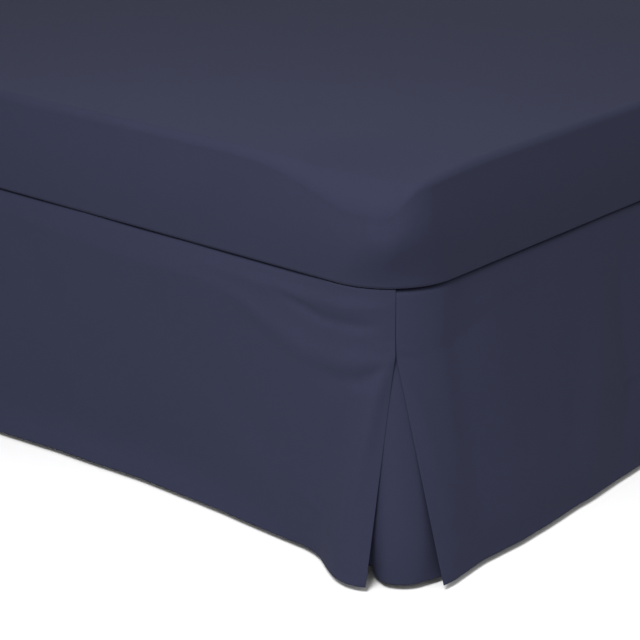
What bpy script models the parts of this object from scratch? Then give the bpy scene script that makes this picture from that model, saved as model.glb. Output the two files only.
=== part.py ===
"""A fitted bed skirt on a double bed: a cover over the mattress, with the skirt hanging from its edge.

The bed stands with the middle of its base over the origin, its foot end at -Y and its sides at -X and +X.
Four skirt panels hang from the crease under the mattress and meet at the corners in open-ended box pleats:
each panel's end is folded back behind itself, and an insert of the same cloth hangs behind the two folds.
Panels are worked out in their own side's measures: how far along the side from the corner a point is, and
how far out of the side's upright plane it stands.
"""

import math
from collections import namedtuple

import bmesh
import bpy
import numpy as np

# Driving dimensions, in metres.
BED_WIDTH = 1.35
BED_LENGTH = 1.90
CREASE_HEIGHT = 0.42
SKIRT_DROP = 0.41
MATTRESS_RISE = 0.160
MATTRESS_CROWN = 0.015
CORNER_RADIUS = 0.11
CLOTH = 0.002
CLEARANCE = 0.002
PIECE_GAP = 0.0003

# The skirt's top edge and the pleats.
SEAM_DEPTH = 0.09
SEAM_CORNER_RADIUS = 0.097
FOLD_GAP = 0.0034
FOLD_TO_SEAM = 0.0010
RETURN_LENGTH = 0.075
TUCK_DEPTH = 0.010
TUCK_HEIGHT = 0.014
TUCK_AT_FOLD = 0.6
TUCK_STARTS = 0.09
TUCK_EASES = 0.06
INSERT_SETBACK = 0.0072

# The mattress cover: its lip, which turns in under the mattress at the crease, and its bulging wall.
LIP_RADIUS = 0.014
LIP_CENTRE_OUT = -0.010
LIP_BOTTOM = 0.002
WALL_BULGE_OUT = 0.010
WALL_BULGE_SHARES = (0.42, 0.75)
WALL_TOP_OUT = 0.006
CROWN_SCALES = (0.90, 0.66, 0.30)
CROWN_POWER = 2.5

# The mattress's corners are rounder at the crease than from this height up. Its upper edge is crisp along
# its ends, softer along its sides and softest there next to a corner, where the top also sinks.
TOP_CORNER_RADIUS = 0.060
TOP_CORNER_HEIGHT = 0.10
EDGE_RADIUS_END = 0.020
EDGE_RADIUS_SIDE = 0.028
EDGE_RADIUS_CORNER = 0.055
SOFT_CORNER_REACH = 0.10
SOFT_CORNER_ENDS = (0.55, 0.97)
CORNER_SINKS = 0.018
SINK_REACH = (0.10, 0.10)
SINK_PLACE = 0.08
SINK_STARTS = 0.04

SKIRT_TOP = LIP_BOTTOM - PIECE_GAP - CLOTH / 2

# The bed base, set in from the crease all round, and the glides that it stands on.
BASE_SETBACK = 0.020
BASE_BOTTOM = 0.030
BASE_BEVEL = 0.004
GLIDE_RADIUS = 0.022
GLIDE_SIDES = 16
GLIDE_INSET_SIDE = 0.14
GLIDE_INSET_END = 0.16

Side = namedtuple("Side", "name corner turn outward length hem folds")
HemRow = namedtuple("HemRow", "along shoulder_out hem_out")
Fold = namedtuple("Fold", "along_top drop_top along_low drop_low width height")

# How far each panel stands out of its side's plane, at the pleat seam's level and at the hem.
SIDE_LEFT_HEM = (
    HemRow(0.022, 0.000, 0.038),
    HemRow(0.034, 0.001, 0.044),
    HemRow(0.054, 0.003, 0.047),
    HemRow(0.072, 0.005, 0.043),
    HemRow(0.097, 0.007, 0.030),
    HemRow(0.130, 0.009, 0.010),
    HemRow(0.165, 0.011, 0.001),
    HemRow(0.256, 0.012, -0.003),
    HemRow(0.340, 0.012, -0.007),
    HemRow(0.520, 0.010, -0.009),
    HemRow(0.690, 0.008, 0.003),
    HemRow(0.820, 0.006, 0.016),
    HemRow(1.000, 0.006, 0.020),
    HemRow(1.250, 0.008, 0.010),
    HemRow(1.500, 0.006, 0.018),
    HemRow(1.700, 0.008, 0.016),
    HemRow(1.800, 0.006, 0.034),
    HemRow(1.845, 0.003, 0.047),
    HemRow(1.878, 0.000, 0.044),
)
FOOT_HEM = (
    HemRow(0.036, 0.000, 0.056),
    HemRow(0.055, 0.001, 0.058),
    HemRow(0.075, 0.003, 0.057),
    HemRow(0.106, 0.004, 0.054),
    HemRow(0.135, 0.005, 0.053),
    HemRow(0.168, 0.006, 0.057),
    HemRow(0.200, 0.006, 0.061),
    HemRow(0.260, 0.006, 0.062),
    HemRow(0.370, 0.006, 0.060),
    HemRow(0.540, 0.006, 0.060),
    HemRow(0.750, 0.006, 0.050),
    HemRow(0.950, 0.008, 0.056),
    HemRow(1.120, 0.006, 0.044),
    HemRow(1.240, 0.005, 0.040),
    HemRow(1.290, 0.003, 0.048),
    HemRow(1.325, 0.000, 0.045),
)
SIDE_RIGHT_HEM = (
    HemRow(0.025, 0.000, 0.045),
    HemRow(0.060, 0.003, 0.047),
    HemRow(0.100, 0.006, 0.036),
    HemRow(0.160, 0.008, 0.020),
    HemRow(0.350, 0.008, 0.012),
    HemRow(0.600, 0.006, 0.020),
    HemRow(0.850, 0.008, 0.010),
    HemRow(1.100, 0.006, 0.018),
    HemRow(1.350, 0.008, 0.010),
    HemRow(1.600, 0.006, 0.014),
    HemRow(1.740, 0.008, 0.020),
    HemRow(1.800, 0.006, 0.036),
    HemRow(1.840, 0.003, 0.047),
    HemRow(1.875, 0.000, 0.045),
)
HEAD_HEM = (
    HemRow(0.025, 0.000, 0.050),
    HemRow(0.060, 0.003, 0.062),
    HemRow(0.100, 0.006, 0.052),
    HemRow(0.160, 0.008, 0.032),
    HemRow(0.400, 0.008, 0.022),
    HemRow(0.700, 0.006, 0.030),
    HemRow(0.950, 0.008, 0.020),
    HemRow(1.190, 0.008, 0.032),
    HemRow(1.250, 0.006, 0.052),
    HemRow(1.290, 0.003, 0.062),
    HemRow(1.325, 0.000, 0.050),
)

# The main folds of each panel: a soft ridge (or trough, where its height is negative) between two places.
SIDE_LEFT_FOLDS = (
    Fold(0.620, 0.018, 0.210, 0.045, 0.018, 0.005),
    Fold(0.210, 0.045, 0.070, 0.080, 0.022, 0.006),
    Fold(0.200, 0.100, 0.060, 0.125, 0.030, -0.004),
    Fold(0.046, 0.110, 0.062, 0.290, 0.016, 0.005),
    Fold(0.115, 0.180, 0.120, 0.330, 0.030, -0.004),
    Fold(0.665, 0.080, 0.650, 0.210, 0.035, -0.004),
    Fold(0.280, 0.408, 1.720, 0.408, 0.034, 0.008),
    Fold(1.200, 0.060, 1.230, 0.330, 0.060, 0.005),
    Fold(1.550, 0.080, 1.500, 0.300, 0.050, -0.004),
)
FOOT_FOLDS = (
    Fold(0.470, 0.100, 0.478, 0.230, 0.035, 0.006),
    Fold(0.478, 0.230, 0.382, 0.400, 0.035, 0.006),
    Fold(0.545, 0.250, 0.590, 0.400, 0.040, -0.006),
    Fold(0.240, 0.330, 0.320, 0.400, 0.050, -0.004),
    Fold(0.960, 0.080, 0.940, 0.380, 0.060, 0.006),
    Fold(1.160, 0.120, 1.130, 0.360, 0.050, -0.004),
)
SIDE_RIGHT_FOLDS = (
    Fold(0.450, 0.070, 0.400, 0.320, 0.060, 0.005),
    Fold(0.760, 0.060, 0.800, 0.300, 0.050, -0.004),
    Fold(1.180, 0.080, 1.140, 0.350, 0.060, 0.005),
    Fold(0.300, 0.408, 1.650, 0.408, 0.034, 0.006),
)
HEAD_FOLDS = (
    Fold(0.420, 0.080, 0.440, 0.340, 0.060, 0.004),
    Fold(0.900, 0.080, 0.870, 0.320, 0.060, -0.004),
)

HALF_WIDTH = BED_WIDTH / 2
HALF_LENGTH = BED_LENGTH / 2
QUARTER_TURN = math.pi / 2
SHARP_ANGLE = math.radians(40)

# A side's own x runs along it from its first corner; outward is the sign of its own y that points out.
FOOT_LEFT = (-HALF_WIDTH, -HALF_LENGTH)
FOOT_RIGHT = (HALF_WIDTH, -HALF_LENGTH)
HEAD_LEFT = (-HALF_WIDTH, HALF_LENGTH)
SIDES = (
    Side("side_left", FOOT_LEFT, QUARTER_TURN, 1, BED_LENGTH, SIDE_LEFT_HEM, SIDE_LEFT_FOLDS),
    Side("foot", FOOT_LEFT, 0.0, -1, BED_WIDTH, FOOT_HEM, FOOT_FOLDS),
    Side("side_right", FOOT_RIGHT, QUARTER_TURN, -1, BED_LENGTH, SIDE_RIGHT_HEM, SIDE_RIGHT_FOLDS),
    Side("head", HEAD_LEFT, 0.0, 1, BED_WIDTH, HEAD_HEM, HEAD_FOLDS),
)

# The inserts' hems in plan, from behind the side's fold to behind the end's fold: how far a point stands
# out of the bed's long side, and out of its foot or head.
OutRow = namedtuple("OutRow", "out_of_side out_of_end")
INSERT_HEM_LIVELY = (
    OutRow(0.008, -0.105),
    OutRow(-0.004, -0.075),
    OutRow(-0.014, -0.053),
    OutRow(-0.004, -0.042),
    OutRow(0.005, -0.030),
    OutRow(0.011, -0.011),
    OutRow(0.002, 0.010),
    OutRow(-0.009, 0.021),
    OutRow(-0.033, 0.031),
    OutRow(-0.048, 0.036),
    OutRow(-0.105, 0.042),
)
INSERT_HEM_PLAIN = (
    OutRow(0.020, -0.105),
    OutRow(0.006, -0.075),
    OutRow(-0.002, -0.048),
    OutRow(0.008, -0.020),
    OutRow(0.006, 0.006),
    OutRow(-0.020, 0.008),
    OutRow(-0.048, -0.002),
    OutRow(-0.075, 0.006),
    OutRow(-0.105, 0.020),
)
INSERT_TOP_REACH = 0.125

Corner = namedtuple("Corner", "name side_sign end_sign hem")
CORNERS = (
    Corner("foot_left", -1, -1, INSERT_HEM_LIVELY),
    Corner("foot_right", 1, -1, INSERT_HEM_PLAIN),
    Corner("head_left", -1, 1, INSERT_HEM_PLAIN),
    Corner("head_right", 1, 1, INSERT_HEM_PLAIN),
)

# Rows of a hanging piece, by their drop below the crease, and columns by their distance from a fold.
SHOULDER_DROPS = (-SKIRT_TOP, 0.005, 0.016, 0.035, 0.060, SEAM_DEPTH)
PANEL_DROPS = (*SHOULDER_DROPS, 0.140, 0.200, 0.260, 0.320, 0.360, 0.390, SKIRT_DROP)
INSERT_DROPS = (0.018, 0.050, SEAM_DEPTH, 0.140, 0.200, 0.260, 0.320, 0.370, SKIRT_DROP)
COLUMNS_NEAR_A_FOLD = (0.0, 0.015, 0.035, 0.060, 0.090, 0.130, 0.180, 0.250)
MIDDLE_COLUMN_PITCH = 0.14
GUIDE_STEPS = 16
GUIDE_PITCH = 0.02
INSERT_COLUMNS = 13
FOLD_TURN_STEPS = 4
RETURN_STEPS = 3

# Points round the bed's outline, and on each quarter circle of the mattress's profile.
CORNER_STEPS = 5
PROFILE_STEPS = 4
LONG_EDGE_SHARES = (0.05, 0.11, 0.19, 0.34, 0.5, 0.66, 0.81, 0.89, 0.95)
SHORT_EDGE_SHARES = (0.25, 0.5, 0.75)

Finish = namedtuple("Finish", "colour roughness")
NAVY_COTTON = Finish((0.043, 0.048, 0.088), 0.85)
MATTRESS_TICKING = Finish((0.72, 0.71, 0.68), 0.80)
BASE_CLOTH = Finish((0.42, 0.41, 0.40), 0.85)
GLIDE_PLASTIC = Finish((0.03, 0.03, 0.03), 0.45)


def clear_scene():
    """Empty the file of every object."""
    for thing in list(bpy.data.objects):
        bpy.data.objects.remove(thing, do_unlink=True)


def make_material(name, finish):
    """A Principled BSDF of one plain finish."""
    material = bpy.data.materials.new(name)
    material.use_nodes = True
    shader = material.node_tree.nodes["Principled BSDF"]
    shader.inputs["Base Color"].default_value = (*finish.colour, 1.0)
    shader.inputs["Roughness"].default_value = finish.roughness
    shader.inputs["Metallic"].default_value = 0.0
    material.diffuse_color = (*finish.colour, 1.0)
    return material


def smooth_path(points, step=0.004):
    """A curve through the points as a dense polyline: a cubic on each span, sloped along the chord."""
    points = np.asarray(points, float)
    chord = np.concatenate([[0.0], np.cumsum(np.linalg.norm(np.diff(points, axis=0), axis=1))])
    slopes = np.gradient(points, chord, axis=0)
    at = np.linspace(0.0, chord[-1], int(chord[-1] / step) + 2)
    span = np.clip(np.searchsorted(chord, at, side="right") - 1, 0, len(chord) - 2)
    size = (chord[span + 1] - chord[span])[:, None]
    u = (at - chord[span])[:, None] / size
    start = (2 * u**3 - 3 * u**2 + 1) * points[span] + (u**3 - 2 * u**2 + u) * size * slopes[span]
    end = (3 * u**2 - 2 * u**3) * points[span + 1] + (u**3 - u**2) * size * slopes[span + 1]
    return start + end


def path_length(path):
    """Length of a polyline."""
    return float(np.linalg.norm(np.diff(path, axis=0), axis=1).sum())


def along_path(path, distances):
    """Points of a polyline at the given distances from its start."""
    run = np.concatenate([[0.0], np.cumsum(np.linalg.norm(np.diff(path, axis=0), axis=1))])
    return np.stack([np.interp(distances, run, path[:, axis]) for axis in range(2)], axis=1)


def outward_normals(plan):
    """Unit normals of a plan polyline that runs along +x with outside at +y."""
    tangent = np.gradient(plan, axis=0)
    tangent /= np.linalg.norm(tangent, axis=1, keepdims=True)
    return np.stack([-tangent[:, 1], tangent[:, 0]], axis=1)


def rounded_side(length, radius):
    """One side of a rounded outline in plan: half a corner, a straight and half a corner."""
    angles = np.linspace(QUARTER_TURN / 2, 0.0, GUIDE_STEPS)
    turn = radius * np.stack([1 - np.sin(angles), np.cos(angles) - 1], axis=1)
    straight = np.linspace(radius, length - radius, int(length / GUIDE_PITCH))[1:-1]
    straight = np.stack([straight, np.zeros(len(straight))], axis=1)
    return np.concatenate([turn, straight, (turn * (-1, 1) + (length, 0))[::-1]])


def rounded_corner(radius, out, reach):
    """One whole corner at a distance out of a rounded outline, as far as a reach along each side of it."""
    angles = np.linspace(0.0, QUARTER_TURN, 2 * GUIDE_STEPS)
    arc = (radius + out) * np.stack([np.cos(angles), np.sin(angles)], axis=1) - radius
    return np.concatenate([[(out, -reach)], arc, [(-reach, out)]])


def fold_relief(along, drop, folds):
    """Height of all folds at a place: each falls away as a bell with the distance from its line."""
    height = np.zeros(np.broadcast(along, drop).shape)
    for fold in folds:
        line = np.array([fold.along_low - fold.along_top, fold.drop_low - fold.drop_top])
        share = ((along - fold.along_top) * line[0] + (drop - fold.drop_top) * line[1]) / (line @ line)
        share = np.clip(share, 0.0, 1.0)
        off_along = along - fold.along_top - share * line[0]
        off_drop = drop - fold.drop_top - share * line[1]
        height += fold.height * np.exp(-(off_along**2 + off_drop**2) / fold.width**2)
    return height


def panel_columns(length):
    """Distances of a panel's columns from its first fold: close together near both folds, wide between."""
    near = np.array(COLUMNS_NEAR_A_FOLD)
    count = round((length - 2 * near[-1]) / MIDDLE_COLUMN_PITCH)
    middle = np.linspace(near[-1], length - near[-1], count + 1)
    return np.concatenate([near, middle[1:-1], (length - near)[::-1]])


def between_guides(guides, drop):
    """A plan row at a drop: crease to seam guide as a quarter sine, then evenly from seam to hem guide."""
    crease, seam, hem = guides
    if drop < SEAM_DEPTH:
        return crease + (seam - crease) * math.sin(QUARTER_TURN * max(drop, 0.0) / SEAM_DEPTH)
    return seam + (hem - seam) * (drop - SEAM_DEPTH) / (SKIRT_DROP - SEAM_DEPTH)


def panel_rows(side):
    """Plan positions of a panel's middle surface, row by row: return, fold, face, fold, return.

    Three guides lie over each other in plan, at the crease, at the pleat seam's foot and at the hem. A row is
    a blend of two of them, pushed out or in by the folds, and drawn in under the mattress at its top.
    """
    rows = np.array(side.hem)
    crease = rounded_side(side.length, CORNER_RADIUS)
    seam = rounded_side(side.length, SEAM_CORNER_RADIUS)
    seam[:, 1] += np.interp(seam[:, 0], rows[:, 0], rows[:, 1])
    hem = smooth_path(rows[:, (0, 2)])

    setback = FOLD_GAP / 2 + CLOTH / 2 + FOLD_TO_SEAM
    columns = panel_columns(path_length(crease) - 2 * setback)
    share = columns / columns[-1]
    guides = [
        along_path(path, setback + share * (path_length(path) - 2 * setback)) for path in (crease, seam, hem)
    ]
    from_fold = np.minimum(columns, columns[-1] - columns)
    tucked = np.clip((from_fold - TUCK_STARTS) / TUCK_EASES, 0.0, 1.0)
    tucked = TUCK_AT_FOLD + (1 - TUCK_AT_FOLD) * tucked

    made = []
    for drop in PANEL_DROPS:
        plan = between_guides(guides, drop)
        tuck = TUCK_DEPTH * tucked * max(0.0, 1.0 - (drop + SKIRT_TOP) / TUCK_HEIGHT) ** 2
        relief = fold_relief(plan[:, 0], drop, side.folds)
        face = plan + outward_normals(plan) * (relief - tuck)[:, None]
        made.append(np.concatenate([folded_end(face)[::-1], face, folded_end(face[::-1], flip=-1)]))
    return np.array(made)


def folded_end(face, flip=1):
    """The half-turn round the fold at a face's first point, and the return behind the face."""
    normals = outward_normals(face) * flip
    tangent = (face[0] - face[1]) / np.linalg.norm(face[0] - face[1])
    centre = face[0] - normals[0] * FOLD_GAP / 2
    angles = np.linspace(0.0, math.pi, FOLD_TURN_STEPS + 1)[1:, None]
    turn = centre + FOLD_GAP / 2 * (normals[0] * np.cos(angles) + tangent * np.sin(angles))
    behind = along_path(face - normals * FOLD_GAP, np.linspace(0.0, RETURN_LENGTH, RETURN_STEPS + 1)[1:])
    return np.concatenate([turn, behind])


def insert_rows(corner):
    """Plan positions of a pleat insert's middle surface, row by row, out of the bed's side and end."""
    crease = rounded_corner(CORNER_RADIUS, -INSERT_SETBACK, INSERT_TOP_REACH)
    seam = rounded_corner(SEAM_CORNER_RADIUS, -INSERT_SETBACK, INSERT_TOP_REACH)
    guides = []
    for path in (crease, seam, smooth_path(corner.hem)):
        guides.append(along_path(path, np.linspace(0.0, path_length(path), INSERT_COLUMNS)))
    return np.array([between_guides(guides, drop) for drop in INSERT_DROPS])


def thick_sheet(name, middle):
    """A closed cloth body from a grid of middle points: offset half a thickness each way, rims joined."""
    across = np.gradient(middle, axis=1)
    down = np.gradient(middle, axis=0)
    normals = np.cross(across, down)
    normals /= np.linalg.norm(normals, axis=2, keepdims=True)
    rows, columns = middle.shape[:2]
    front = (middle + normals * CLOTH / 2).reshape(-1, 3)
    back = (middle - normals * CLOTH / 2).reshape(-1, 3)
    grid = np.arange(rows * columns).reshape(rows, columns)
    quads = np.stack([grid[:-1, :-1], grid[1:, :-1], grid[1:, 1:], grid[:-1, 1:]], axis=-1).reshape(-1, 4)
    rim = np.concatenate([grid[0, :-1], grid[:-1, -1], grid[-1, :0:-1], grid[:0:-1, 0]])
    following = np.roll(rim, -1)
    behind = rows * columns
    edge_quads = np.stack([rim, following, following + behind, rim + behind], axis=-1)
    faces = np.concatenate([quads, quads[:, ::-1] + behind, edge_quads])
    return body_from(name, np.concatenate([front, back]), faces.tolist())


def body_from(name, points, faces):
    """An object from points and faces, with its faces turned outwards."""
    mesh = bpy.data.meshes.new(name)
    mesh.from_pydata([tuple(point) for point in points], [], faces)
    work = bmesh.new()
    work.from_mesh(mesh)
    bmesh.ops.recalc_face_normals(work, faces=work.faces)
    work.to_mesh(mesh)
    work.free()
    mesh.shade_smooth()
    mesh.set_sharp_from_angle(angle=SHARP_ANGLE)
    thing = bpy.data.objects.new(name, mesh)
    bpy.context.scene.collection.objects.link(thing)
    return thing


def outline(corner_radius):
    """Points round the bed at the crease, anticlockwise, and their outward normals."""
    x, y = HALF_WIDTH - corner_radius, HALF_LENGTH - corner_radius
    corners = ((x, y), (-x, y), (-x, -y), (x, -y))
    points, normals = [], []
    for number, centre in enumerate(corners):
        angles = (number + np.linspace(0.0, 1.0, CORNER_STEPS + 1)) * QUARTER_TURN
        turn = np.stack([np.cos(angles), np.sin(angles)], axis=1)
        shares = np.array(LONG_EDGE_SHARES if number % 2 else SHORT_EDGE_SHARES)[:, None]
        edge = np.subtract(corners[(number + 1) % len(corners)], centre)
        points += [centre + corner_radius * turn, centre + corner_radius * turn[-1] + edge * shares]
        normals += [turn, np.repeat(turn[-1:], len(shares), axis=0)]
    return np.concatenate(points), np.concatenate(normals)


def smooth_share(value, low, high):
    """0 below low, 1 above high, and an even S curve between."""
    share = np.clip((value - low) / (high - low), 0.0, 1.0)
    return share * share * (3.0 - 2.0 * share)


def edge_radii():
    """Radius of the mattress's upper edge at each outline point."""
    points, normals = outline(CORNER_RADIUS)
    faces_end = np.abs(normals[:, 1])
    past_corner = np.maximum(HALF_LENGTH - CORNER_RADIUS - np.abs(points[:, 1]), 0.0)
    softness = np.exp(-((past_corner / SOFT_CORNER_REACH) ** 2))
    softness *= 1.0 - smooth_share(faces_end, *SOFT_CORNER_ENDS)
    radius = EDGE_RADIUS_SIDE + (EDGE_RADIUS_END - EDGE_RADIUS_SIDE) * faces_end**2
    return radius + (EDGE_RADIUS_CORNER - radius) * softness


def corner_sink(plan):
    """How far the mattress's top sinks at plan points: a bell near each corner, a little way along the side."""
    from_side = (HALF_WIDTH - np.abs(plan[:, 0])) / SINK_REACH[0]
    from_place = (HALF_LENGTH - SINK_PLACE - np.abs(plan[:, 1])) / SINK_REACH[1]
    return CORNER_SINKS * np.exp(-(from_side**2) - from_place**2)


def mattress_profile(inset):
    """Loops from the lip at the crease up the wall and over the top: distance out, height and scale.

    The inset moves the whole profile inwards: 0 is the cover's outside. Out and height are one number or
    one for each outline point.
    """
    edge_radius = edge_radii()
    loops = []
    for angle in np.linspace(-QUARTER_TURN, 0.0, PROFILE_STEPS):
        out = LIP_CENTRE_OUT + (LIP_RADIUS - inset) * math.cos(angle)
        loops.append((out, LIP_BOTTOM + LIP_RADIUS + (LIP_RADIUS - inset) * math.sin(angle), 1.0))
    for share in WALL_BULGE_SHARES:
        loops.append((WALL_BULGE_OUT - inset, share * (MATTRESS_RISE - edge_radius), 1.0))
    for angle in np.linspace(0.0, QUARTER_TURN, PROFILE_STEPS):
        out = WALL_TOP_OUT - edge_radius + (edge_radius - inset) * math.cos(angle)
        loops.append((out, MATTRESS_RISE - edge_radius + (edge_radius - inset) * math.sin(angle), 1.0))
    for scale in CROWN_SCALES:
        crown = MATTRESS_CROWN * (1 - scale**CROWN_POWER)
        loops.append((WALL_TOP_OUT - edge_radius, MATTRESS_RISE - inset + crown, scale))
    return loops


def ring_points(loops):
    """Rings of points for (out, height, scale) loops, heights measured from the crease."""
    rings = []
    for out, height, scale in loops:
        lift = float(smooth_share(np.max(height), 0.0, TOP_CORNER_HEIGHT))
        points, normals = outline(CORNER_RADIUS + (TOP_CORNER_RADIUS - CORNER_RADIUS) * lift)
        plan = (points + normals * np.broadcast_to(out, len(points))[:, None]) * scale
        sink = corner_sink(plan) * smooth_share(height, SINK_STARTS, MATTRESS_RISE)
        rings.append(np.concatenate([plan, (CREASE_HEIGHT + height - sink)[:, None]], axis=1))
    return rings


def joined_rings(first, rings, count):
    """Faces between neighbouring rings, the first of them starting at a point number."""
    faces = []
    for ring in range(rings - 1):
        low = first + ring * count
        for step in range(count):
            after = (step + 1) % count
            faces.append((low + step, low + after, low + count + after, low + count + step))
    return faces


def stacked_body(name, loops):
    """A closed body through a stack of rings, with a flat face over its first and last ring."""
    rings = ring_points(loops)
    count = len(rings[0])
    faces = joined_rings(0, len(rings), count)
    faces.append(tuple(range(count)))
    faces.append(tuple(range((len(rings) - 1) * count, len(rings) * count)))
    return body_from(name, np.concatenate(rings), faces)


def build_mattress_cover(material):
    """The cover as a thin shell: outside, inside and the rim that joins them at the lip."""
    outside = ring_points(mattress_profile(0.0))
    inside = ring_points(mattress_profile(CLOTH))
    count = len(outside[0])
    start_inside = len(outside) * count
    faces = joined_rings(0, len(outside), count) + joined_rings(start_inside, len(inside), count)
    for step in range(count):
        after = (step + 1) % count
        faces.append((step, after, start_inside + after, start_inside + step))
    for first in (start_inside - count, start_inside + (len(inside) - 1) * count):
        faces.append(tuple(range(first, first + count)))
    cover = body_from("mattress_cover", np.concatenate(outside + inside), faces)
    cover.data.materials.append(material)
    return cover


def build_mattress(material):
    """A plain sprung mattress under the cover."""
    mattress = stacked_body("mattress", mattress_profile(CLOTH + CLEARANCE))
    mattress.data.materials.append(material)
    return mattress


def build_bed_base(material):
    """A plain upholstered box under the mattress."""
    bottom = BASE_BOTTOM - CREASE_HEIGHT
    top = LIP_BOTTOM + CLOTH + CLEARANCE - PIECE_GAP
    inner = -BASE_SETBACK - BASE_BEVEL
    loops = (
        (inner, bottom, 1.0),
        (-BASE_SETBACK, bottom + BASE_BEVEL, 1.0),
        (-BASE_SETBACK, top - BASE_BEVEL, 1.0),
        (inner, top, 1.0),
    )
    base = stacked_body("bed_base", loops)
    base.data.materials.append(material)
    return base


def build_glides(material):
    """Six round glides under the bed base, two to a row."""
    height = BASE_BOTTOM - PIECE_GAP
    mesh = bpy.data.meshes.new("glide")
    work = bmesh.new()
    bmesh.ops.create_cone(
        work, cap_ends=True, segments=GLIDE_SIDES, radius1=GLIDE_RADIUS, radius2=GLIDE_RADIUS, depth=height
    )
    work.to_mesh(mesh)
    work.free()
    mesh.shade_smooth()
    mesh.set_sharp_from_angle(angle=SHARP_ANGLE)
    mesh.materials.append(material)
    row_y = HALF_LENGTH - GLIDE_INSET_END
    column_x = HALF_WIDTH - GLIDE_INSET_SIDE
    glides = []
    for row, y in (("foot", -row_y), ("middle", 0.0), ("head", row_y)):
        for side, x in (("left", -column_x), ("right", column_x)):
            glide = bpy.data.objects.new(f"glide_{row}_{side}", mesh)
            glide.location = (x, y, height / 2)
            bpy.context.scene.collection.objects.link(glide)
            glides.append(glide)
    return glides


def build_skirt_panel(side, material):
    """One skirt panel in its side's own measures, then turned and moved to its corner."""
    plan = panel_rows(side)
    heights = np.broadcast_to(-np.array(PANEL_DROPS)[:, None, None], (*plan.shape[:2], 1))
    middle = np.concatenate([plan[:, :, :1], plan[:, :, 1:] * side.outward, heights], axis=2)
    panel = thick_sheet(f"skirt_{side.name}", middle)
    panel.rotation_euler.z = side.turn
    panel.location = (*side.corner, CREASE_HEIGHT)
    panel.data.materials.append(material)
    return panel


def build_pleat_insert(corner, material):
    """The insert behind one corner's two folds."""
    plan = insert_rows(corner) * (corner.side_sign, corner.end_sign)
    heights = np.broadcast_to(-np.array(INSERT_DROPS)[:, None, None], (*plan.shape[:2], 1))
    insert = thick_sheet(f"pleat_insert_{corner.name}", np.concatenate([plan, heights], axis=2))
    insert.location = (corner.side_sign * HALF_WIDTH, corner.end_sign * HALF_LENGTH, CREASE_HEIGHT)
    insert.data.materials.append(material)
    return insert


def main():
    """Build the bed and its skirt, all parented to one empty on the floor."""
    clear_scene()
    cotton = make_material("navy_cotton", NAVY_COTTON)
    pieces = [build_mattress_cover(cotton)]
    pieces += [build_skirt_panel(side, cotton) for side in SIDES]
    pieces += [build_pleat_insert(corner, cotton) for corner in CORNERS]
    pieces.append(build_mattress(make_material("mattress_ticking", MATTRESS_TICKING)))
    pieces.append(build_bed_base(make_material("base_cloth", BASE_CLOTH)))
    pieces += build_glides(make_material("glide_plastic", GLIDE_PLASTIC))
    stand = bpy.data.objects.new("bed", None)
    bpy.context.scene.collection.objects.link(stand)
    for piece in pieces:
        piece.parent = stand


main()
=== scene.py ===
"""The looks of a fitted bed skirt on a double bed: cloth surfaces, their finishes, and a plain light studio.

Heights are metres above the floor. A side of the bed has its own measures: how far along it a point is from
the side's first corner, how far out of its upright plane, and how far it drops below the crease.
"""

import math
from collections import namedtuple

import bpy
import numpy as np
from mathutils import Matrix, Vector


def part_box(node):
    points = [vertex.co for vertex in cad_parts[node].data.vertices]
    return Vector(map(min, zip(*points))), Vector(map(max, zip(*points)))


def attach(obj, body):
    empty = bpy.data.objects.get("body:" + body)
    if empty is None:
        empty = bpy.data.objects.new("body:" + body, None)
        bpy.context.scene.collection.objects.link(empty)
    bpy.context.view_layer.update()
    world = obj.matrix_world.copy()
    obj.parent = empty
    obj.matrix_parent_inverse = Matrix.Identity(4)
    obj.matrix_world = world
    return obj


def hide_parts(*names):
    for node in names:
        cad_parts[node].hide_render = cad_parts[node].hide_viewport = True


bl_info = {
    "name": "Fitted bed skirt",
    "version": (1, 0, 0),
    "blender": (4, 5, 0),
    "location": "View3D > Sidebar > Bed skirt",
    "description": "Makes the cloth, the finishes and the studio of a fitted bed skirt on its bed",
    "category": "Add Mesh",
}

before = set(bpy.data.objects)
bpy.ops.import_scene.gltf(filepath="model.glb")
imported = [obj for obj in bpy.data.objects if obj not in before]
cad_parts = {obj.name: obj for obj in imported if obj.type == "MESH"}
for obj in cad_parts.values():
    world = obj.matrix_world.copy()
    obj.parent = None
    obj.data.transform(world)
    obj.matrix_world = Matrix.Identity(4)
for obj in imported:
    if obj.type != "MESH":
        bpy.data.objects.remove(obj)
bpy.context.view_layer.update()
QUARTER_TURN = math.pi / 2

# Places read from the frame, and how far the mattress and the skirt's top stand past the crease.
MATTRESS_OVERHANG = 0.006
SKIRT_TOP = 0.0007
MATTRESS_LOW, MATTRESS_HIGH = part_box("mattress")
SKIRT_LOW, SKIRT_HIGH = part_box("skirt_foot")
HALF_WIDTH = (MATTRESS_HIGH.x - MATTRESS_LOW.x) / 2 - MATTRESS_OVERHANG
HALF_LENGTH = (MATTRESS_HIGH.y - MATTRESS_LOW.y) / 2 - MATTRESS_OVERHANG
CREASE_HEIGHT = SKIRT_HIGH.z - SKIRT_TOP
SKIRT_DROP = CREASE_HEIGHT - SKIRT_LOW.z

# The crease's rounded outline and the skirt's hang.
CORNER_RADIUS = 0.11
SEAM_DEPTH = 0.09
SEAM_CORNER_RADIUS = 0.097
FOLD_GAP = 0.0008
PIECE_GAP = 0.00015
RETURN_LENGTH = 0.075
TUCK_DEPTH = 0.007
TUCK_HEIGHT = 0.009
SHOULDER_POWER = 1.4
INSERT_SETBACK = 0.0020
INSERT_FALLS_BACK = 0.010
FALL_POWER = 1.3
VALLEY_POWER = 8
INSERT_TOP_DROP = 0.018
INSERT_TOP_REACH = 0.125

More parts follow.
